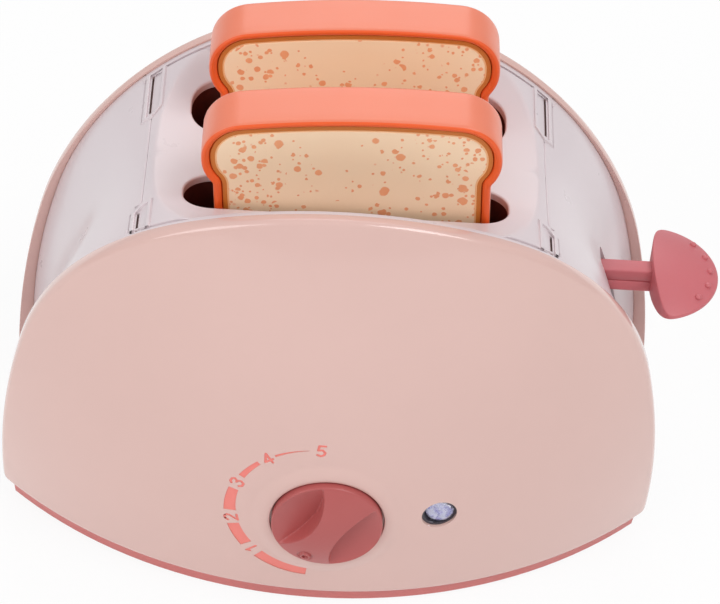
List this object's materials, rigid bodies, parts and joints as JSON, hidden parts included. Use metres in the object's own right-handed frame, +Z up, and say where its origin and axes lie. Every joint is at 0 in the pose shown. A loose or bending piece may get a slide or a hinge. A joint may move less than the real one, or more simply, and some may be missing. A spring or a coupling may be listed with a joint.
{
  "type": "toy toaster",
  "caption": "Toy toaster with two bulged glossy panels round a waisted white casing, lift-out toy bread slices, a side lever that lowers the bread tray, and a turning dial.",
  "frame": {"origin": "on the surface it stands on, under the middle of the body, on the battery door's bearing pad", "axes": "+Z up, -Y towards the dial, +X towards the lever"},
  "size_m": [0.203, 0.1348, 0.1497],
  "materials": {
    "panel_pink": "high gloss",
    "casing_white": "satin gloss",
    "base_pink": "satin",
    "foot_rubber": "matt",
    "screw_steel": "satin",
    "cell_jacket": "satin",
    "contact_metal": "satin",
    "speaker_black": "matt",
    "board_green": "satin",
    "well_brown": "matt",
    "rod_steel": "polished",
    "magnet_metal": "satin",
    "lever_rose": "satin",
    "dial_rose": "satin",
    "switch_grey": "matt",
    "cup_dark": "matt",
    "lens_clear": "clear",
    "led_clear": "clear gloss",
    "mark_coral": "satin",
    "crust_orange": "satin gloss",
    "crumb_cream": "satin"
  },
  "bodies": {
    "casing": {"front_panel": "panel_pink", "back_panel": "panel_pink", "front_trim_frame": "casing_white", "back_trim_frame": "casing_white", "top_cover": "casing_white", "left_side_shell": "casing_white", "right_side_shell": "casing_white", "seam_clips": "casing_white", "base_plate": "base_pink", "rubber_feet": "foot_rubber", "battery_door": "base_pink", "battery_door_screw": "screw_steel", "base_screws": "screw_steel", "battery_cells": "cell_jacket", "battery_contacts": "contact_metal", "speaker": "speaker_black", "circuit_board": "board_green", "bread_well": "well_brown", "guide_rods": "rod_steel", "lift_springs": "rod_steel", "hold_magnet": "magnet_metal", "click_box": "switch_grey", "click_cover": "switch_grey", "switch_screws": "screw_steel", "lamp_cup": "cup_dark", "lamp_lens": "lens_clear", "led": "led_clear", "scale_marks": "mark_coral"},
    "carriage": {"bread_carriage": "well_brown", "keeper_plate": "magnet_metal", "lever_arm": "lever_rose", "lever_knob": "lever_rose"},
    "dial": {"dial_knob": "dial_rose", "dial_shaft": "switch_grey"},
    "front_slice": {"front_slice_crust": "crust_orange", "front_slice_crumb": "crumb_cream"},
    "back_slice": {"back_slice_crust": "crust_orange", "back_slice_crumb": "crumb_cream"}
  },
  "joints": [
    {"name": "carriage_slide", "type": "slide", "parent": "casing", "child": "carriage", "axis": [0, 0, -1], "range_m": [0, 0.036], "stiffness_N_per_m": 160, "springref_m": -0.02, "deforming": ["lift_springs"]},
    {"name": "dial_turn", "type": "hinge", "parent": "casing", "child": "dial", "pos_m": [0, -0.063, 0.0363], "axis": [0, 1, 0], "range_deg": [0, 150]},
    {"name": "front_slice_lift", "type": "slide", "parent": "carriage", "child": "front_slice", "axis": [0, 0, 1], "range_m": [0, 0.1]},
    {"name": "back_slice_lift", "type": "slide", "parent": "carriage", "child": "back_slice", "axis": [0, 0, 1], "range_m": [0, 0.1]}
  ]
}
